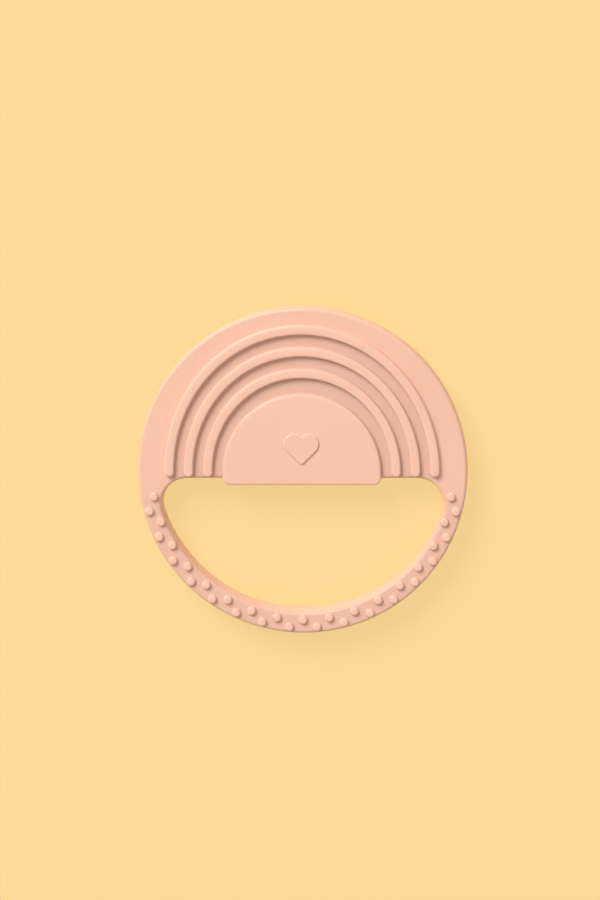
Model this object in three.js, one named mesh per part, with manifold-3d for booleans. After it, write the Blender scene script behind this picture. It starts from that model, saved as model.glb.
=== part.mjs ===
// Teething ring, in millimetres, lying on its back with +Z up and +Y towards the top of the arches.
//
// The whole object is one silicone moulding. Its structural body is a round plate with a D-shaped
// grip opening in the lower half, which leaves a web above it and a narrow grip ring below it.
// Everything raised stands on the body's one flat front face: a half-round pad whose lip hangs a
// little below the web, three arches around the pad, and two staggered rows of chewing nubs along
// the grip ring. A heart stands on the pad. The origin is at the rim's centre, on the back face.

import * as THREE from 'three';
import { mergeVertices } from 'three/addons/utils/BufferGeometryUtils.js';
import Module from 'manifold-3d';

// ---- driving dimensions ----

// body
const OUTER_RADIUS = 47.5;
const BODY_THICKNESS = 8;
const EDGE_INSET = 0.5; // how far a rounded edge reaches into the flat face
const EDGE_DROP = 1; // how far it runs down the wall
const GRIP_WIDTH = 6.45; // width of the grip ring at its lowest point
const OPENING_RISE = 1.2; // centre of the opening's long arc, above the rim's centre
const OPENING_CORNER = 7.6; // radius of the opening's two upper corners
const WEB_DROP = 1.8; // lower edge of the web, below the rim's centre

// arches, from the outermost one inwards
const ARCH_NAMES = ['arch_outer', 'arch_middle', 'arch_inner'];
const ARCH_WIDTH = 2.8;
const ARCH_HEIGHT = 1.5;
const ARCH_ROUNDING = 0.6;
const ARCH_TOP_BAND = 4.9; // flat band between the rim and the outermost arch, at its crown
const ARCH_SIDE_BAND = 8; // the same band beside its feet
const ARCH_TOP_PITCH = 6.2;
const ARCH_SIDE_PITCH = 5.55;
const ARCH_END_GAP = 0.7; // from the arches' round ends to the web's lower edge

// pad
const PAD_TOP_GAP = 4.45; // groove between the innermost arch and the pad, at the crown
const PAD_SIDE_GAP = 2.85;
const PAD_HEIGHT = 1.5;
const PAD_ROUNDING = 0.7;
const PAD_LIP = 1.65; // how far the pad hangs below the web's edge
const PAD_CORNER = 2;

// heart on the pad
const HEART_WIDTH = 10;
const HEART_HEIGHT = 0.5;
const HEART_ROUNDING = 0.25;
const HEART_RISE = 10; // its middle, above the pad's lower edge

// chewing nubs
const NUB_COUNT = 17; // in the inner row; the outer row has one fewer, set between them
const NUB_END_ANGLE = 9.3; // degrees below the horizontal of the row's first and last nub
const NUB_RADIUS = 1.25;
const NUB_HEIGHT = 1;
const NUB_DOME = 0.7; // height of the nub's domed top
const NUB_RIM_GAP = 0.75; // between the rim and the outer row
const NUB_OPENING_GAP = 0.95; // between the inner row and the opening, at the grip's lowest point

// facets
const CHORD_ERROR = 0.03;
const EDGE_STEPS = 3;
const NUB_SIDES = 14;
const NUB_DOME_STEPS = 3;

// ---- derived sizes ----

const WEB_EDGE_Y = -WEB_DROP;
const ARCH_FOOT_Y = WEB_EDGE_Y + ARCH_END_GAP + ARCH_WIDTH / 2; // centre of the arches' round ends
const ARCH_HALF_SPAN = OUTER_RADIUS - ARCH_SIDE_BAND - ARCH_WIDTH / 2;
const ARCH_RISE = OUTER_RADIUS - ARCH_TOP_BAND - ARCH_WIDTH / 2 - ARCH_FOOT_Y;
const LAST_ARCH = ARCH_NAMES.length - 1;
const PAD_HALF_WIDTH = ARCH_HALF_SPAN - LAST_ARCH * ARCH_SIDE_PITCH - ARCH_WIDTH / 2 - PAD_SIDE_GAP;
const PAD_RISE = ARCH_RISE - LAST_ARCH * ARCH_TOP_PITCH - ARCH_WIDTH / 2 - PAD_TOP_GAP;
const PAD_BOTTOM_Y = WEB_EDGE_Y - PAD_LIP;

// ---- outlines ----

// Points along an elliptic arc, spaced so that the chords stay close to the curve. Their number is
// a multiple of four, so that a full circle has a point at each of its four extremes.
function arc(x, y, radiusX, radiusY, from, to) {
  const step = 2 * Math.acos(1 - CHORD_ERROR / Math.max(radiusX, radiusY));
  const count = 4 * Math.ceil(Math.abs(to - from) / step / 4);
  return new THREE.EllipseCurve(x, y, radiusX, radiusY, from, to, to < from).getPoints(count);
}

// Joins stretches of points into one closed outline and drops the points that two of them share.
function outline(...stretches) {
  const points = stretches.flat();
  const last = points.length - 1;
  return points.filter((point, i) => point.distanceTo(points[i === 0 ? last : i - 1]) > 1e-6);
}

function rimOutline() {
  return outline(arc(0, 0, OUTER_RADIUS, OUTER_RADIUS, 0, 2 * Math.PI));
}

// A long arc from side to side, a round corner on each side, and the web's straight edge on top.
function openingOutline() {
  const radius = OUTER_RADIUS - GRIP_WIDTH + OPENING_RISE;
  const cornerY = WEB_EDGE_Y - OPENING_CORNER;
  const drop = cornerY - OPENING_RISE;
  const cornerX = Math.sqrt((radius - OPENING_CORNER) ** 2 - drop ** 2);
  const turn = Math.atan2(drop, cornerX); // direction in which the long arc meets the corner
  return outline(
    arc(0, OPENING_RISE, radius, radius, Math.PI - turn, 2 * Math.PI + turn),
    arc(cornerX, cornerY, OPENING_CORNER, OPENING_CORNER, turn, Math.PI / 2),
    arc(-cornerX, cornerY, OPENING_CORNER, OPENING_CORNER, Math.PI / 2, Math.PI - turn),
  );
}

// Half an ellipse, a round foot, half a smaller ellipse back, and the other foot.
function archOutline(halfSpan, rise) {
  const half = ARCH_WIDTH / 2;
  return outline(
    arc(0, ARCH_FOOT_Y, halfSpan + half, rise + half, 0, Math.PI),
    arc(-halfSpan, ARCH_FOOT_Y, half, half, Math.PI, 2 * Math.PI),
    arc(0, ARCH_FOOT_Y, halfSpan - half, rise - half, Math.PI, 0),
    arc(halfSpan, ARCH_FOOT_Y, half, half, Math.PI, 2 * Math.PI),
  );
}

function padOutline() {
  const cornerX = PAD_HALF_WIDTH - PAD_CORNER;
  const cornerY = PAD_BOTTOM_Y + PAD_CORNER;
  return outline(
    arc(0, ARCH_FOOT_Y, PAD_HALF_WIDTH, PAD_RISE, 0, Math.PI),
    arc(-cornerX, cornerY, PAD_CORNER, PAD_CORNER, Math.PI, 1.5 * Math.PI),
    arc(cornerX, cornerY, PAD_CORNER, PAD_CORNER, 1.5 * Math.PI, 2 * Math.PI),
  );
}

// A square standing on one corner, with a half disc on each of its two upper sides.
function heartOutline() {
  const reach = HEART_WIDTH / (1 + Math.SQRT2);
  const lobe = reach / Math.SQRT2;
  return outline(
    [new THREE.Vector2(0, -reach)],
    arc(reach / 2, reach / 2, lobe, lobe, -Math.PI / 4, 0.75 * Math.PI),
    arc(-reach / 2, reach / 2, lobe, lobe, Math.PI / 4, 1.25 * Math.PI),
  );
}

// ---- solids ----

const wasm = await Module();
wasm.setup();

function toSolid(geometry) {
  const bare = geometry.clone();
  bare.deleteAttribute('normal');
  bare.deleteAttribute('uv');
  const merged = mergeVertices(bare);
  return new wasm.Manifold(new wasm.Mesh({
    numProp: 3,
    vertProperties: merged.attributes.position.array,
    triVerts: new Uint32Array(merged.index.array),
  }));
}

function toGeometry(solid) {
  const mesh = solid.getMesh();
  const geometry = new THREE.BufferGeometry();
  geometry.setAttribute('position', new THREE.BufferAttribute(mesh.vertProperties, 3));
  geometry.setIndex(new THREE.BufferAttribute(mesh.triVerts, 1));
  geometry.computeVertexNormals();
  return geometry;
}

// A block wider than the object, from one height to another, to cut with.
function cutter(bottom, top) {
  const width = 3 * OUTER_RADIUS;
  return toSolid(new THREE.BoxGeometry(width, width, top - bottom).translate(0, 0, (bottom + top) / 2));
}

// A slab from one height to another whose upper and lower edges are both rounded.
function roundedSlab(shape, bottom, top, inset, drop) {
  const geometry = new THREE.ExtrudeGeometry(shape, {
    depth: top - bottom - 2 * drop,
    bevelThickness: drop,
    bevelSize: inset,
    bevelOffset: -inset,
    bevelSegments: EDGE_STEPS,
  });
  return geometry.translate(0, 0, bottom + drop);
}

// A raised feature: a flat base at z = 0 over the whole outline, and a rounded top edge.
function relief(points, height, rounding) {
  const shape = new THREE.Shape(points);
  const slab = toSolid(roundedSlab(shape, -height, height, rounding, rounding));
  return toGeometry(slab.subtract(cutter(-2 * height, 0)));
}

// The plate with its opening, and the block under the pad that carries the pad's lip.
function ringBody() {
  const plateShape = new THREE.Shape(rimOutline());
  plateShape.holes.push(new THREE.Path(openingOutline()));
  const plate = toSolid(roundedSlab(plateShape, 0, BODY_THICKNESS, EDGE_INSET, EDGE_DROP));
  const blockShape = new THREE.Shape(padOutline());
  const block = toSolid(roundedSlab(blockShape, 0, 2 * BODY_THICKNESS, EDGE_INSET, EDGE_DROP));
  return toGeometry(plate.add(block.subtract(cutter(BODY_THICKNESS, 3 * BODY_THICKNESS))));
}

// A short post with a domed top, turned about its own axis.
function nub() {
  const shoulder = NUB_HEIGHT - NUB_DOME;
  const dome = new THREE.EllipseCurve(0, shoulder, NUB_RADIUS, NUB_DOME, 0, Math.PI / 2);
  const profile = [new THREE.Vector2(0, 0), new THREE.Vector2(NUB_RADIUS, 0)];
  profile.push(...dome.getPoints(NUB_DOME_STEPS));
  return new THREE.LatheGeometry(profile, NUB_SIDES).rotateX(Math.PI / 2);
}

// ---- assembly ----

const teethingRing = new THREE.Group();

function addPart(name, geometry, x, y, z) {
  const material = new THREE.MeshStandardMaterial({ color: '#f3bfa4', roughness: 0.55, metalness: 0 });
  const mesh = new THREE.Mesh(geometry, material);
  mesh.name = name;
  mesh.position.set(x, y, z);
  teethingRing.add(mesh);
}

function addArches() {
  ARCH_NAMES.forEach((name, i) => {
    const halfSpan = ARCH_HALF_SPAN - i * ARCH_SIDE_PITCH;
    const rise = ARCH_RISE - i * ARCH_TOP_PITCH;
    const geometry = relief(archOutline(halfSpan, rise), ARCH_HEIGHT, ARCH_ROUNDING);
    addPart(name, geometry, 0, 0, BODY_THICKNESS);
  });
}

// The row starts on the right and runs below the opening to the left.
function addNubRow(name, count, radius, firstAngle, step) {
  for (let i = 0; i < count; i += 1) {
    const angle = -THREE.MathUtils.degToRad(firstAngle + i * step);
    const number = String(i + 1).padStart(2, '0');
    addPart(`${name}_${number}`, nub(), radius * Math.cos(angle), radius * Math.sin(angle), BODY_THICKNESS);
  }
}

function addNubs() {
  const step = (180 - 2 * NUB_END_ANGLE) / (NUB_COUNT - 1);
  const innerRow = OUTER_RADIUS - GRIP_WIDTH + NUB_OPENING_GAP + NUB_RADIUS;
  const outerRow = OUTER_RADIUS - NUB_RIM_GAP - NUB_RADIUS;
  addNubRow('nub_inner', NUB_COUNT, innerRow, NUB_END_ANGLE, step);
  addNubRow('nub_outer', NUB_COUNT - 1, outerRow, NUB_END_ANGLE + step / 2, step);
}

addPart('ring_body', ringBody(), 0, 0, 0);
addPart('sun_pad', relief(padOutline(), PAD_HEIGHT, PAD_ROUNDING), 0, 0, BODY_THICKNESS);
const heart = relief(heartOutline(), HEART_HEIGHT, HEART_ROUNDING);
addPart('heart_motif', heart, 0, PAD_BOTTOM_Y + HEART_RISE, BODY_THICKNESS + PAD_HEIGHT);
addArches();
addNubs();

export default teethingRing;
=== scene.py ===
"""Teething ring: one moulding of soft matte silicone, lying on its back.

A round plate has a D-shaped grip opening in its lower half. A half-round pad stands on the plate
with three arches round it, and two staggered rows of chewing nubs follow the grip below. Sizes are
in millimetres here and become metres in the meshes.
"""

import math
import bmesh
import bpy
from mathutils import Euler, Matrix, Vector


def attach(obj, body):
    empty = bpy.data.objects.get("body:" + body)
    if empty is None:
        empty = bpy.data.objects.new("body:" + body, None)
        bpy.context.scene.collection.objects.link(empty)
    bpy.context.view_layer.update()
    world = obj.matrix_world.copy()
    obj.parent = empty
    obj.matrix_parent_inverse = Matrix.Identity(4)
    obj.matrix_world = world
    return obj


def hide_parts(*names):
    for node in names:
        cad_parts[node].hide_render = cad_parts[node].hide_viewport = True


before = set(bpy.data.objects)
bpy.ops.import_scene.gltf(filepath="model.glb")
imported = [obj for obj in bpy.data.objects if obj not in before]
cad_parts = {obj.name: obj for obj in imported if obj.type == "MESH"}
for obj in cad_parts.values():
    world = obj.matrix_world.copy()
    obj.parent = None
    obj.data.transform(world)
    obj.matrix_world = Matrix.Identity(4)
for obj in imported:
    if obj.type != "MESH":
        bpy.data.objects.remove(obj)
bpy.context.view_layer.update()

MM = 0.001

# ---- sizes of the moulding, in millimetres ----

RIM_RADIUS = 47.5
FACE = 8.0  # height of the plate's front face
EDGE_ROUNDING = 0.9  # where the front face meets the rim and the grip opening
BACK_ROUNDING = 1.0
DRAFT = math.tan(math.radians(1.5))
RELIEF_DRAFT = math.tan(math.radians(5))
PARTING_LINE = 4.0  # height at which the mould's two halves meet
FLASH = 0.05  # how far the line they leave stands out
FLASH_WIDTH = 0.22

OPENING_RADIUS = 42.25  # the opening's long arc
OPENING_RISE = 1.2
OPENING_CORNER = 7.6
WEB_Y = -1.8  # lower edge of the web
CORNER_Y = WEB_Y - OPENING_CORNER
CORNER_DROP = CORNER_Y - OPENING_RISE
CORNER_X = math.sqrt((OPENING_RADIUS - OPENING_CORNER) ** 2 - CORNER_DROP ** 2)

FOOT_Y = 0.3  # centre of the arches' half ellipses and of their round feet
ARCHES = {"arch_outer": (38.1, 40.9), "arch_middle": (32.55, 34.7), "arch_inner": (27.0, 28.5)}
ARCH_WIDTH = 2.8
ARCH_HEIGHT = 1.5
ARCH_ROUNDING = 0.5

PAD_HALF_WIDTH = 22.75
PAD_RISE = 22.65
PAD_BOTTOM = -3.45
PAD_CORNER = 2.0
PAD_HEIGHT = 1.5
PAD_ROUNDING = 0.55
LIP_FILLET = 0.5  # where the pad's lip leaves the web

HEART_WIDTH = 10.0
HEART_HEIGHT = 0.5
HEART_ROUNDING = 0.3
HEART_FILLET = 0.15
HEART_Y = 6.55
HEART_TIP = 0.8
HEART_NOTCH = 0.35

NUB_ROWS = {"nub_inner": (17, 43.25, 0.0), "nub_outer": (16, 45.5, 0.5)}
NUB_END_ANGLE = 9.3
NUB_STEP = (180 - 2 * NUB_END_ANGLE) / 16
NUB_RADIUS = 1.25
NUB_HEIGHT = 1.0
NUB_ROUNDING = (0.5, 0.45)  # how far the domed top reaches inwards and down

ROOT_FILLET = 0.2  # soft corner at the foot of everything raised
TOP_CROWN = 0.03  # raised tops are a touch higher in the middle
BURIED = 1.2  # how deep raised features go into what carries them
BASE_SHARE = 0.6  # width of an arch's or a nub's buried base, as a share of its foot
HEART_BURIED = 0.6
HEART_BASE_INSET = 0.1
PAD_BURIED = 1.7
PAD_BASE_INSET = 0.4
PAD_BASE_RISE = 0.1  # height over which the pad's buried base widens to its outline
PAD_PROUD = 0.015  # how far the pad's lip stands out from the plate's wall under it
SPREAD_START = 0.1  # above the web's edge, where the pad's root begins to spread on the plate
SPREAD_LENGTH = 1.2
OVERLAP = 0.004  # how far a foot goes under the face, so that no gap shows

# ---- facets ----

RIM_STEPS = 288
LONG_ARC_STEPS = 96
CORNER_STEPS = 16
SMALL_CORNER_STEPS = 10
ROOT_STEPS = 4
TOP_STEPS = 8
ARCH_STEPS = 96
LOBE_STEPS = 40
NUB_STEPS = 32
WELD = 0.002  # vertices of a wrapped grid that are closer than this become one
SHARP_ANGLE = 50.0  # degrees; edges that turn less are shaded smooth
INNER_TOP = 0.35  # loop on an arch's or a nub's top, as a share of its half width
TOP_LOOP = 0.4  # spacing of the loops that keep the pad's top flat
HEART_LOOP = 0.2
PLATE_LOOP = 0.2
LINE_LOOP = 0.1  # the loops beside the parting line, and how far the draft has gone there
LINE_LOOP_INSET = 0.003


# ---- node trees ----


class Wire:
    """One output in a node tree. Arithmetic on it adds Math nodes."""

    def __init__(self, graph, socket):
        self.graph = graph
        self.socket = socket

    def output(self, name):
        return Wire(self.graph, self.socket.node.outputs[name])

    def __add__(self, other):
        return self.graph.math("ADD", self, other)

    def __sub__(self, other):
        return self.graph.math("SUBTRACT", self, other)

    def __rsub__(self, other):
        return self.graph.math("SUBTRACT", other, self)

    def __mul__(self, other):
        return self.graph.math("MULTIPLY", self, other)

    def __truediv__(self, other):
        return self.graph.math("DIVIDE", self, other)

    def __pow__(self, other):
        return self.graph.math("POWER", self, other)

    def __gt__(self, other):
        return self.graph.math("GREATER_THAN", self, other)

    def __lt__(self, other):
        return self.graph.math("LESS_THAN", self, other)

    __radd__ = __add__
    __rmul__ = __mul__


class Graph:
    """A node tree that is being built."""

    def __init__(self, tree):
        self.tree = tree

    def add(self, kind, settings, values, output=0):
        """Adds a node: first its settings, then its sockets' values or links."""
        node = self.tree.nodes.new(kind)
        for name, setting in settings.items():
            setattr(node, name, setting)
        for name, value in values.items():
            if isinstance(value, Wire):
                self.tree.links.new(value.socket, node.inputs[name])
            else:
                node.inputs[name].default_value = value
        return Wire(self, node.outputs[output]) if node.outputs else None

    def math(self, operation, *values):
        return self.add("ShaderNodeMath", {"operation": operation}, dict(enumerate(values)))

    def clamp(self, value):
        return self.add("ShaderNodeClamp", {}, {"Value": value})

    def vector(self, x, y, z):
        return self.add("ShaderNodeCombineXYZ", {}, {"X": x, "Y": y, "Z": z})


def geometry_tree(name, sizes):
    """A Geometry Nodes tree with one named input for each size, besides its material."""
    tree = bpy.data.node_groups.new(name, "GeometryNodeTree")
    tree.interface.new_socket("Geometry", in_out="OUTPUT", socket_type="NodeSocketGeometry")
    tree.interface.new_socket("Material", in_out="INPUT", socket_type="NodeSocketMaterial")
    for size in sizes:
        kind = "NodeSocketInt" if size == "Count" else "NodeSocketFloat"
        tree.interface.new_socket(size, in_out="INPUT", socket_type=kind)
    graph = Graph(tree)
    return graph, graph.add("NodeGroupInput", {}, {})


def wrapped_grid(graph, columns, rows):
    """A grid of vertices, and the fields that say in which column and row each one is."""
    values = {"Size X": 1.0, "Size Y": 1.0, "Vertices X": columns + 1, "Vertices Y": rows}
    grid = graph.add("GeometryNodeMeshGrid", {}, values)
    place = graph.add("GeometryNodeInputPosition", {}, {})
    place = graph.add("ShaderNodeSeparateXYZ", {}, {"Vector": place})
    column = graph.math("ROUND", (place.output("X") + 0.5) * columns)
    row = graph.math("ROUND", (place.output("Y") + 0.5) * (rows - 1))
    return grid, column, row


RELIEF_ROWS = 2 + (ROOT_STEPS + 1) + (TOP_STEPS + 1) + 2


def relief_section(graph, row, half_width, height, reach, fall):
    """Half width and height of a raised feature at a row of its grid.

    The rows run from the middle of the buried base, out along it, up the root fillet and the
    drafted wall, round the top edge and in to the middle of the top.
    """
    root = ROOT_FILLET * MM
    crown = TOP_CROWN * MM
    root_turn = graph.clamp((row - 2) / ROOT_STEPS) * (math.pi / 2)
    top_turn = graph.clamp((row - 3 - ROOT_STEPS) / TOP_STEPS) * (math.pi / 2)
    above_base = row > 1.5
    on_wall = row > 2.5 + ROOT_STEPS
    on_top = row > 3.5 + ROOT_STEPS + TOP_STEPS
    wall = height - fall - root - crown
    width = half_width + root * (1 - graph.math("SINE", root_turn))
    width = width - on_wall * wall * RELIEF_DRAFT - reach * (1 - graph.math("COSINE", top_turn))
    width = width * (1 - (1 - INNER_TOP) * on_top)
    width = width * (BASE_SHARE + (1 - BASE_SHARE) * above_base)
    width = width * (row > 0.5) * (row < RELIEF_ROWS - 1.5)
    rise = root * (1 - graph.math("COSINE", root_turn)) + on_wall * wall
    rise = rise + fall * graph.math("SINE", top_turn) + on_top * crown
    return width, rise - (1 - above_base) * (BURIED * MM) - OVERLAP * MM


def rounding_drop(graph, gap):
    """How far a rounded front edge has dropped at a given distance from the wall."""
    radius = EDGE_ROUNDING * MM
    into = graph.math("MAXIMUM", radius - graph.math("MAXIMUM", gap, 0.0), 0.0)
    return radius - (radius * radius - into * into) ** 0.5


def settled(graph, geometry, gap_from_edge, height):
    """Lets the foot of a raised feature follow the plate's rounded edges, and leaves its top."""
    place = graph.add("GeometryNodeInputPosition", {}, {})
    place = graph.add("ShaderNodeSeparateXYZ", {}, {"Vector": place})
    x, y, z = (place.output(axis) for axis in "XYZ")
    share = 1 - graph.clamp((z - FACE * MM) / height)
    drop = rounding_drop(graph, gap_from_edge(graph, x, y)) * share
    offset = graph.vector(0.0, 0.0, 0 - drop)
    return graph.add("GeometryNodeSetPosition", {}, {"Geometry": geometry, "Offset": offset})


def gap_from_web(graph, x, y):
    """Distance to the web's lower edge and to the opening's round corners."""
    beside = graph.math("MAXIMUM", graph.math("ABSOLUTE", x) - CORNER_X * MM, 0.0)
    above = y - CORNER_Y * MM
    return (beside * beside + above * above) ** 0.5 - OPENING_CORNER * MM


def gap_from_grip_edges(graph, x, y):
    """Distance to the nearer of the rim and the opening's long arc."""
    above = y - OPENING_RISE * MM
    rim = RIM_RADIUS * MM - (x * x + y * y) ** 0.5
    return graph.math("MINIMUM", rim, (x * x + above * above) ** 0.5 - OPENING_RADIUS * MM)


def close_tree(graph, geometry, inputs):
    """Realizes instances, sets the material and ends the tree."""
    geometry = graph.add("GeometryNodeRealizeInstances", {}, {"Geometry": geometry})
    values = {"Geometry": geometry, "Material": inputs.output("Material")}
    geometry = graph.add("GeometryNodeSetMaterial", {}, values)
    graph.add("NodeGroupOutput", {}, {"Geometry": geometry})
    return graph.tree


def arch_tree():
    """A rib with a rounded top along half an ellipse, with a round foot at each end."""
    sizes = ("Half Span", "Rise", "Half Width", "Height", "Top Rounding")
    graph, inputs = geometry_tree("raised arch", sizes)
    half_span, rise, half_width, height, rounding = (inputs.output(size) for size in sizes)
    grid, column, row = wrapped_grid(graph, 2 * (ARCH_STEPS + CORNER_STEPS), RELIEF_ROWS)
    width, lift = relief_section(graph, row, half_width, height, rounding, rounding)
    outer = graph.clamp(column / ARCH_STEPS)
    left_foot = graph.clamp((column - ARCH_STEPS) / CORNER_STEPS)
    inner = graph.clamp((column - ARCH_STEPS - CORNER_STEPS) / ARCH_STEPS)
    right_foot = graph.clamp((column - 2 * ARCH_STEPS - CORNER_STEPS) / CORNER_STEPS)
    along = (outer - inner) * math.pi
    facing = along + (left_foot + right_foot) * math.pi
    x = half_span * graph.math("COSINE", along) + width * graph.math("COSINE", facing)
    y = rise * graph.math("SINE", along) + width * graph.math("SINE", facing)
    place = graph.vector(x, y + FOOT_Y * MM, lift + FACE * MM)
    rib = graph.add("GeometryNodeSetPosition", {}, {"Geometry": grid, "Position": place})
    rib = graph.add("GeometryNodeMergeByDistance", {}, {"Geometry": rib, "Distance": WELD * MM})
    rib = settled(graph, rib, gap_from_web, height)
    return close_tree(graph, rib, inputs)


def nub_row_tree():
    """A row of short posts with domed tops, set at equal steps round the grip."""
    sizes = ("Count", "Row Radius", "First Angle", "Step", "Nub Radius", "Height")
    sizes = (*sizes, "Dome Reach", "Dome Fall")
    graph, inputs = geometry_tree("row of chewing nubs", sizes)
    count, row_radius, first, step, radius, height, reach, fall = (
        inputs.output(size) for size in sizes
    )
    grid, column, row = wrapped_grid(graph, NUB_STEPS, RELIEF_ROWS)
    width, lift = relief_section(graph, row, radius, height, reach, fall)
    turn = column * (2 * math.pi / NUB_STEPS)
    x = width * graph.math("COSINE", turn)
    y = width * graph.math("SINE", turn)
    place = graph.vector(x, y, lift)
    nub = graph.add("GeometryNodeSetPosition", {}, {"Geometry": grid, "Position": place})
    nub = graph.add("GeometryNodeMergeByDistance", {}, {"Geometry": nub, "Distance": WELD * MM})
    number = graph.add("GeometryNodeInputIndex", {}, {})
    angle = 0 - (first + step * number)
    x = row_radius * graph.math("COSINE", angle)
    y = row_radius * graph.math("SINE", angle)
    place = graph.vector(x, y, FACE * MM)
    spots = graph.add("GeometryNodePoints", {}, {"Count": count, "Position": place})
    row_of_nubs = graph.add("GeometryNodeInstanceOnPoints", {}, {"Points": spots, "Instance": nub})
    row_of_nubs = graph.add("GeometryNodeRealizeInstances", {}, {"Geometry": row_of_nubs})
    row_of_nubs = settled(graph, row_of_nubs, gap_from_grip_edges, height)
    return close_tree(graph, row_of_nubs, inputs)


# ---- silicone ----

SILICONE_DEEP = (0.817, 0.494, 0.375, 1.0)
SILICONE_PALE = (0.836, 0.519, 0.398, 1.0)
SILICONE_WARM = (0.841, 0.504, 0.373, 1.0)
# painted highlight: paler colour for the tops of the pad, the arches and the nubs
SILICONE_TOP_HIGHLIGHT = (0.874, 0.558, 0.438, 1.0)
# painted light: paler, pinker side walls against the floor's orange bounce light
SILICONE_SIDE_LIGHT = (0.85, 0.56, 0.475, 1.0)
# painted shade: darker colour for the plate between the arches and on the grip's face
SILICONE_GROOVE_SHADE = (0.654, 0.425, 0.334, 1.0)
GROOVE_SHADE_SHARE = 0.7  # how much painted shade shows between the arches
GRIP_SHADE_SHARE = 0.35  # and on the grip's face
SIDE_LIGHT_SHARE = 0.7
WARM_SHARE = 0.35
TOP_HIGHLIGHT_SHARE = 0.3  # how much painted highlight shows on the tops of the pad and the arches
NUB_HIGHLIGHT_EXTRA = 0.6  # and how much more on the nubs
TOP_HIGHLIGHT_START = 0.3  # above the front face, where the painted highlight begins to fade in
PLATE_END = 0.9  # above the front face, where the painted shade has faded out
GRIP_FACE_START = 0.6  # below the front face, where the painted shade begins to fade in on the grip
GRIP_FACE_EDGE = 3.0  # how quickly it does
GROOVE_EDGE = 40.0  # how sharply the painted shade begins inside the outer arch
GRIP_START = 5.0  # below the rim's centre, where the painted shade on the grip and the nubs' extra painted highlight begin to fade in
GRIP_FADE = 4.0
CLOUD_SCALE = 45.0
MOTTLE_SCALE = 420.0
GRAIN_SCALE = 4200.0


def silicone():
    """Soft peach silicone with a fine matte grain and slightly different tones by place.

    Painted highlight makes raised tops paler, painted light makes the side walls paler against the
    floor's orange bounce, and painted shade darkens the plate between the arches and on the grip.
    """
    material = bpy.data.materials.new("peach_silicone")
    material.use_nodes = True
    material.node_tree.nodes.clear()
    graph = Graph(material.node_tree)
    place = graph.add("ShaderNodeTexCoord", {}, {}, "Object")

    def noise(scale, detail):
        values = {"Vector": place, "Scale": scale, "Detail": detail, "Roughness": 0.55}
        return graph.add("ShaderNodeTexNoise", {}, values)

    def blend(amount, first, second):
        values = {0: amount, 6: first, 7: second}
        return graph.add("ShaderNodeMix", {"data_type": "RGBA"}, values, 2)

    clouds = noise(CLOUD_SCALE, 2.0)
    mottle = noise(MOTTLE_SCALE, 3.0)
    grain = noise(GRAIN_SCALE, 1.0)

    parts = graph.add("ShaderNodeSeparateXYZ", {}, {"Vector": place})
    x, y, z = (parts.output(axis) / MM for axis in "XYZ")
    half_span, rise = ARCHES["arch_outer"]
    across, up = x / half_span, (y - FOOT_Y) / rise
    among_arches = graph.clamp((1 - (across * across + up * up) ** 0.5) * GROOVE_EDGE)
    on_grip = graph.clamp((-GRIP_START - y) / GRIP_FADE)
    shaded_grip_face = on_grip * graph.clamp((z - FACE + GRIP_FACE_START) * GRIP_FACE_EDGE)
    on_plate = graph.clamp(FACE + PLATE_END - z)
    # painted light: the side walls are paler below the front edge's rounding
    on_side = graph.clamp(FACE - EDGE_ROUNDING - z)
    # painted highlight: the tops of the raised features are paler, the nubs most
    raised = graph.clamp((z - (FACE + TOP_HIGHLIGHT_START)) / (PAD_HEIGHT - TOP_HIGHLIGHT_START))
    raised = raised * (TOP_HIGHLIGHT_SHARE + on_grip * NUB_HIGHLIGHT_EXTRA)
    # painted shade: the plate darker between the arches and round the nubs on the grip
    painted_shade = on_plate * (among_arches * GROOVE_SHADE_SHARE + shaded_grip_face * GRIP_SHADE_SHARE)

    colour = blend(graph.clamp(clouds * 2.2 - 0.6), SILICONE_DEEP, SILICONE_PALE)
    colour = blend(graph.clamp(mottle * 1.6 - 0.5) * WARM_SHARE, colour, SILICONE_WARM)
    colour = blend(raised, colour, SILICONE_TOP_HIGHLIGHT)
    colour = blend(on_side * SIDE_LIGHT_SHARE, colour, SILICONE_SIDE_LIGHT)
    colour = blend(painted_shade, colour, SILICONE_GROOVE_SHADE)
    roughness = 0.5 + (mottle - 0.5) * 0.16 + (clouds - 0.5) * 0.12
    relief = grain * 0.6 + mottle * 0.4
    fine = {"Strength": 0.35, "Distance": 0.012 * MM, "Height": relief}
    normal = graph.add("ShaderNodeBump", {}, fine)
    broad = {"Strength": 0.5, "Distance": 0.12 * MM, "Height": clouds, "Normal": normal}
    normal = graph.add("ShaderNodeBump", {}, broad)
    values = {
        "Base Color": colour,
        "Roughness": roughness,
        "Normal": normal,
        "IOR": 1.41,
        "Subsurface Weight": 0.2,
        "Subsurface Radius": (1.0, 0.45, 0.3),
        "Subsurface Scale": 0.6 * MM,
    }
    surface = graph.add("ShaderNodeBsdfPrincipled", {}, values)
    graph.add("ShaderNodeOutputMaterial", {}, {"Surface": surface})
    return material


# ---- outlines, in millimetres, anticlockwise ----


def arc(x, y, reach_x, reach_y, start, stop, steps):
    """Points on an elliptic arc between two angles in degrees, with both its ends."""
    angles = [math.radians(start + (stop - start) * i / steps) for i in range(steps + 1)]
    return [(x + reach_x * math.cos(a), y + reach_y * math.sin(a)) for a in angles]


def mirrored(points):
    return [(-x, y) for x, y in reversed(points)]


def rim_outline(inset):
    radius = RIM_RADIUS - inset
    return arc(0, 0, radius, radius, 0, 360, RIM_STEPS)[:-1]


def bearing(from_x, from_y, to_x, to_y):
    return math.degrees(math.atan2(to_y - from_y, to_x - from_x))


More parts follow.
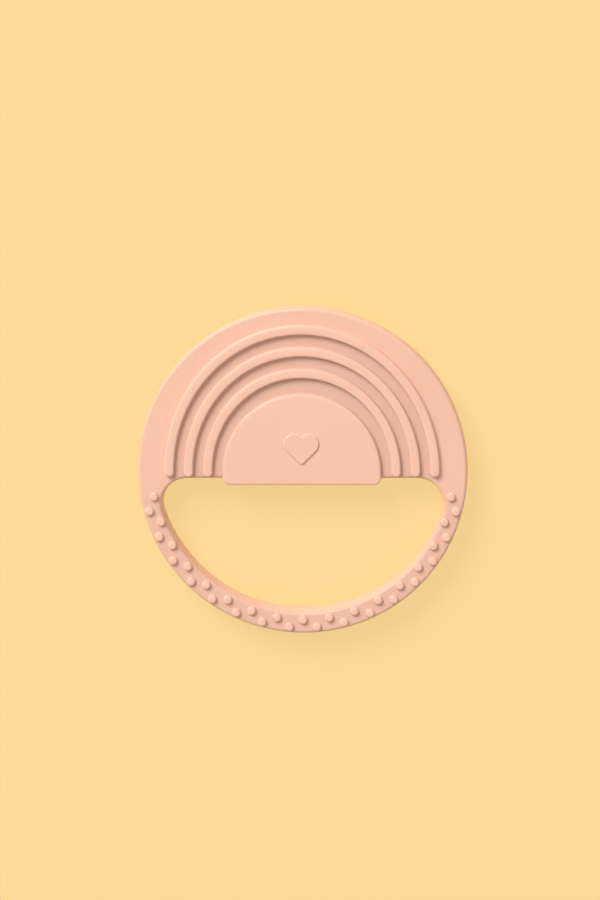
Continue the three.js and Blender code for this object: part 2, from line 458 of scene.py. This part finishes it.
def opening_outline(inset):
    """The grip opening grown by an inset, with the pad's lip standing into its upper edge."""
    turn = bearing(0, OPENING_RISE, CORNER_X, CORNER_Y)
    lip_x = PAD_HALF_WIDTH - PAD_CORNER
    lip_y = PAD_BOTTOM + PAD_CORNER
    fillet_y = WEB_Y - LIP_FILLET
    fillet_x = lip_x + math.sqrt((PAD_CORNER + LIP_FILLET) ** 2 - (lip_y - fillet_y) ** 2)
    to_lip = bearing(fillet_x, fillet_y, lip_x, lip_y)
    long_arc = OPENING_RADIUS + inset
    corner = OPENING_CORNER + inset
    fillet = LIP_FILLET + inset
    lip = PAD_CORNER - inset
    right = [
        *arc(0, OPENING_RISE, long_arc, long_arc, -90, turn, LONG_ARC_STEPS),
        *arc(CORNER_X, CORNER_Y, corner, corner, turn, 90, CORNER_STEPS)[1:],
        *arc(fillet_x, fillet_y, fillet, fillet, 90, to_lip, SMALL_CORNER_STEPS),
        *arc(lip_x, lip_y, lip, lip, to_lip - 180, -90, SMALL_CORNER_STEPS)[1:],
    ]
    return right + mirrored(right[1:])


def pad_outline(offset):
    corner = PAD_CORNER + offset
    corner_x = PAD_HALF_WIDTH - PAD_CORNER
    corner_y = PAD_BOTTOM + PAD_CORNER
    reach = PAD_HALF_WIDTH + offset
    rise = PAD_RISE + offset
    right = [
        *arc(corner_x, corner_y, corner, corner, -90, 0, SMALL_CORNER_STEPS),
        *arc(0, FOOT_Y, reach, rise, 0, 90, LONG_ARC_STEPS),
    ]
    return right + mirrored(right[:-1])


def heart_outline(offset):
    """Two round lobes over a blunt tip, with a soft notch between them."""
    reach = HEART_WIDTH / (1 + math.sqrt(2))
    lobe = reach / math.sqrt(2)
    tip_y = -reach + HEART_TIP * math.sqrt(2)
    notch_y = reach / 2 + math.sqrt((lobe + HEART_NOTCH) ** 2 - (reach / 2) ** 2)
    to_notch = bearing(reach / 2, reach / 2, 0, notch_y)
    tip = HEART_TIP + offset
    round_lobe = lobe + offset
    notch = HEART_NOTCH - offset
    right = [
        *arc(0, tip_y, tip, tip, -90, -45, SMALL_CORNER_STEPS),
        *arc(reach / 2, reach / 2, round_lobe, round_lobe, -45, to_notch, LOBE_STEPS),
        *arc(0, notch_y, notch, notch, to_notch - 180, -90, SMALL_CORNER_STEPS)[1:],
    ]
    return [(x, y + HEART_Y) for x, y in right + mirrored(right[1:-1])]


# ---- pieces ----


def add_ring(bm, outline, heights):
    return [bm.verts.new((x * MM, y * MM, z * MM)) for (x, y), z in zip(outline, heights)]


def add_level(bm, outline, height):
    return add_ring(bm, outline, [height] * len(outline))


def join_rings(bm, rings):
    for lower, upper in zip(rings, rings[1:]):
        for i, near in enumerate(lower):
            bm.faces.new((lower[i - 1], near, upper[i], upper[i - 1]))


def fill_flat(bm, *loops):
    """A flat face inside the first loop and round any others."""
    edges = [bm.edges.get((loop[i - 1], loop[i])) for loop in loops for i in range(len(loop))]
    bmesh.ops.triangle_fill(bm, use_beauty=True, edges=edges)


def finish_piece(name, bm, material, nodes):
    """Makes a closed mesh a piece of the object, in place of its nodes."""
    bmesh.ops.recalc_face_normals(bm, faces=bm.faces)
    mesh = bpy.data.meshes.new(name)
    bm.to_mesh(mesh)
    bm.free()
    mesh.shade_smooth()
    mesh.set_sharp_from_angle(angle=math.radians(SHARP_ANGLE))
    mesh.materials.append(material)
    piece = bpy.data.objects.new(name, mesh)
    bpy.context.collection.objects.link(piece)
    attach(piece, "root")
    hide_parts(*nodes)
    return piece


def rounding(radius, steps):
    """Inset and drop of each step round an edge, from the wall to the flat."""
    turns = [math.pi / 2 * i / steps for i in range(steps + 1)]
    return [(radius * (1 - math.cos(t)), radius * (1 - math.sin(t))) for t in turns]


def plate_wall():
    """Inset and height of the plate's wall, from its back face to its front face."""
    lean = FLASH + PARTING_LINE * DRAFT
    back = [(lean + inset, drop) for inset, drop in rounding(BACK_ROUNDING, TOP_STEPS)]
    front = [(lean + inset, FACE - drop) for inset, drop in rounding(EDGE_ROUNDING, TOP_STEPS)]
    back = [(back[-1][0] + PLATE_LOOP, 0.0), *reversed(back)]
    front = [*front, (front[-1][0] + PLATE_LOOP, FACE)]
    half = FLASH_WIDTH / 2
    line = [
        (FLASH + LINE_LOOP_INSET, PARTING_LINE - half - LINE_LOOP),
        (FLASH, PARTING_LINE - half),
        (0.0, PARTING_LINE - half / 3),
        (0.0, PARTING_LINE + half / 3),
        (FLASH, PARTING_LINE + half),
        (FLASH + LINE_LOOP_INSET, PARTING_LINE + half + LINE_LOOP),
    ]
    return back + line + front


def make_plate(material):
    bm = bmesh.new()
    wall = plate_wall()
    rim = [add_level(bm, rim_outline(inset), height) for inset, height in wall]
    opening = [add_level(bm, opening_outline(inset), height) for inset, height in wall]
    join_rings(bm, rim)
    join_rings(bm, opening)
    fill_flat(bm, rim[0], opening[0])
    fill_flat(bm, rim[-1], opening[-1])
    return finish_piece("ring_plate", bm, material, ["ring_body"])


def relief_profile(height, edge):
    """Offset and height of a raised feature from its foot to the flat of its top."""
    root = [(drop, inset) for inset, drop in rounding(ROOT_FILLET, ROOT_STEPS)]
    lean = RELIEF_DRAFT * (height - edge - ROOT_FILLET)
    top = [(-inset - lean, height - TOP_CROWN - drop) for inset, drop in rounding(edge, TOP_STEPS)]
    last = top[-1][0]
    return root, [*top, (last - TOP_LOOP, height), (last - 2 * TOP_LOOP, height)]


def web_drop(y):
    """How far the plate's front edge has dropped beside the web's lower edge."""
    into = max(EDGE_ROUNDING - max(y - WEB_Y, 0), 0)
    return EDGE_ROUNDING - math.sqrt(EDGE_ROUNDING ** 2 - into ** 2)


def make_pad(material):
    """The half-round pad. Its foot spreads onto the plate, but its lip runs straight down."""
    bm = bmesh.new()
    root, top = relief_profile(PAD_HEIGHT, PAD_ROUNDING)
    flush = pad_outline(PAD_PROUD)
    on_plate = [min(max((y - WEB_Y - SPREAD_START) / SPREAD_LENGTH, 0), 1) for _, y in flush]
    base = FACE - PAD_BURIED
    rings = [add_level(bm, pad_outline(-PAD_BASE_INSET), base)]
    rings.append(add_level(bm, flush, base + PAD_BASE_RISE))
    for offset, height in root:
        spread = pad_outline(offset)
        outline = []
        heights = []
        for (near_x, near_y), (far_x, far_y), share in zip(flush, spread, on_plate):
            outline.append((near_x + (far_x - near_x) * share, near_y + (far_y - near_y) * share))
            drop = web_drop(outline[-1][1]) * share * (1 - height / PAD_HEIGHT)
            heights.append(FACE + height - OVERLAP - drop)
        rings.append(add_ring(bm, outline, heights))
    rings += [add_level(bm, pad_outline(offset), FACE + height) for offset, height in top]
    join_rings(bm, rings)
    fill_flat(bm, rings[0])
    fill_flat(bm, rings[-1])
    return finish_piece("half_round_pad", bm, material, ["sun_pad"])


def make_heart(material):
    bm = bmesh.new()
    floor = FACE + PAD_HEIGHT
    rings = [add_level(bm, heart_outline(-HEART_BASE_INSET), floor - HEART_BURIED)]
    for inset, drop in rounding(HEART_FILLET, ROOT_STEPS):
        rings.append(add_level(bm, heart_outline(drop), floor + inset - OVERLAP))
    for inset, drop in rounding(HEART_ROUNDING, TOP_STEPS):
        rings.append(add_level(bm, heart_outline(-inset), floor + HEART_HEIGHT - drop))
    rings.append(add_level(bm, heart_outline(-HEART_ROUNDING - HEART_LOOP), floor + HEART_HEIGHT))
    join_rings(bm, rings)
    fill_flat(bm, rings[0])
    fill_flat(bm, rings[-1])
    return finish_piece("raised_heart", bm, material, ["heart_motif"])


def grow(name, tree, sizes, material, nodes):
    """Runs a Geometry Nodes tree with its sizes and keeps the result as a plain mesh."""
    holder = bpy.data.objects.new(name + "_holder", bpy.data.meshes.new(name + "_holder"))
    bpy.context.collection.objects.link(holder)
    modifier = holder.modifiers.new("shape", "NODES")
    modifier.node_group = tree
    for item in tree.interface.items_tree:
        if item.in_out == "INPUT":
            modifier[item.identifier] = material if item.name == "Material" else sizes[item.name]
    depsgraph = bpy.context.evaluated_depsgraph_get()
    mesh = bpy.data.meshes.new_from_object(holder.evaluated_get(depsgraph), depsgraph=depsgraph)
    holder.modifiers.remove(modifier)
    bpy.data.objects.remove(holder)
    bm = bmesh.new()
    bm.from_mesh(mesh)
    bpy.data.meshes.remove(mesh)
    return finish_piece(name, bm, material, nodes)


def make_arches(material):
    tree = arch_tree()
    for name, (half_span, rise) in ARCHES.items():
        sizes = {
            "Half Span": half_span * MM,
            "Rise": rise * MM,
            "Half Width": ARCH_WIDTH / 2 * MM,
            "Height": ARCH_HEIGHT * MM,
            "Top Rounding": ARCH_ROUNDING * MM,
        }
        grow("raised_" + name, tree, sizes, material, [name])


def make_nub_rows(material):
    tree = nub_row_tree()
    for name, (count, row_radius, stagger) in NUB_ROWS.items():
        sizes = {
            "Count": count,
            "Row Radius": row_radius * MM,
            "First Angle": math.radians(NUB_END_ANGLE + stagger * NUB_STEP),
            "Step": math.radians(NUB_STEP),
            "Nub Radius": NUB_RADIUS * MM,
            "Height": NUB_HEIGHT * MM,
            "Dome Reach": NUB_ROUNDING[0] * MM,
            "Dome Fall": NUB_ROUNDING[1] * MM,
        }
        nodes = [f"{name}_{i + 1:02d}" for i in range(count)]
        grow(name + "_row", tree, sizes, material, nodes)


# ---- floor, light and camera ----

FLOOR_PAPER = (0.1572, 0.1125, 0.0495, 1.0)
KEY_TURN = math.radians(34)  # how far round from the crown towards the left
KEY_HEIGHT = math.radians(38)
KEY_DISTANCE = 4.0  # metres, as are the sizes of the light and the floor
KEY_SIZE = 2.2
FLOOR_SIZE = 4.0
KEY_POWER = 156.0
KEY_COLOUR = (1.0, 0.985, 0.97)
FILL = 0.56
FILL_COLOUR = (1.0, 0.945, 0.885, 1.0)
FLOOR_GLOW = 5.0
CAMERA_TARGET = (-0.485, 6.634, 8.0)
CAMERA_DISTANCE = 634.0
CAMERA_TILT = math.radians(9.59)  # towards the crown
CAMERA_SIDE = math.radians(3.0)  # towards the right
CAMERA_LENS = 88.59
SENSOR_HEIGHT = 36.0


def make_floor():
    mesh = bpy.data.meshes.new("floor")
    bm = bmesh.new()
    bmesh.ops.create_grid(bm, x_segments=1, y_segments=1, size=FLOOR_SIZE)
    bm.to_mesh(mesh)
    bm.free()
    material = bpy.data.materials.new("floor_paper")
    material.use_nodes = True
    shader = material.node_tree.nodes["Principled BSDF"]
    shader.inputs["Base Color"].default_value = FLOOR_PAPER
    shader.inputs["Emission Color"].default_value = FLOOR_PAPER
    shader.inputs["Emission Strength"].default_value = FLOOR_GLOW
    shader.inputs["Roughness"].default_value = 0.9
    mesh.materials.append(material)
    floor = bpy.data.objects.new("floor", mesh)
    bpy.context.collection.objects.link(floor)


def make_light():
    light = bpy.data.lights.new("key", "AREA")
    light.shape = "DISK"
    light.size = KEY_SIZE
    light.energy = KEY_POWER
    light.color = KEY_COLOUR
    key = bpy.data.objects.new("key", light)
    level = math.cos(KEY_HEIGHT)
    towards = Vector((-level * math.sin(KEY_TURN), level * math.cos(KEY_TURN), math.sin(KEY_HEIGHT)))
    key.location = towards * KEY_DISTANCE
    key.rotation_euler = towards.to_track_quat("Z", "Y").to_euler()
    bpy.context.collection.objects.link(key)
    world = bpy.data.worlds.new("studio")
    world.use_nodes = True
    background = world.node_tree.nodes["Background"]
    background.inputs["Color"].default_value = FILL_COLOUR
    background.inputs["Strength"].default_value = FILL
    bpy.context.scene.world = world
    bpy.context.scene.view_settings.view_transform = "Standard"


def make_camera():
    data = bpy.data.cameras.new("camera")
    data.sensor_fit = "VERTICAL"
    data.sensor_height = SENSOR_HEIGHT
    data.lens = CAMERA_LENS
    data.clip_start = 0.01
    camera = bpy.data.objects.new("camera", data)
    turn = Euler((-CAMERA_TILT, CAMERA_SIDE, 0), "YXZ").to_matrix()
    back = turn @ Vector((0, 0, 1))
    camera.location = (Vector(CAMERA_TARGET) + back * CAMERA_DISTANCE) * MM
    camera.rotation_euler = turn.to_euler()
    bpy.context.collection.objects.link(camera)
    bpy.context.scene.camera = camera


peach = silicone()
make_plate(peach)
make_pad(peach)
make_heart(peach)
make_arches(peach)
make_nub_rows(peach)
make_floor()
make_light()
make_camera()
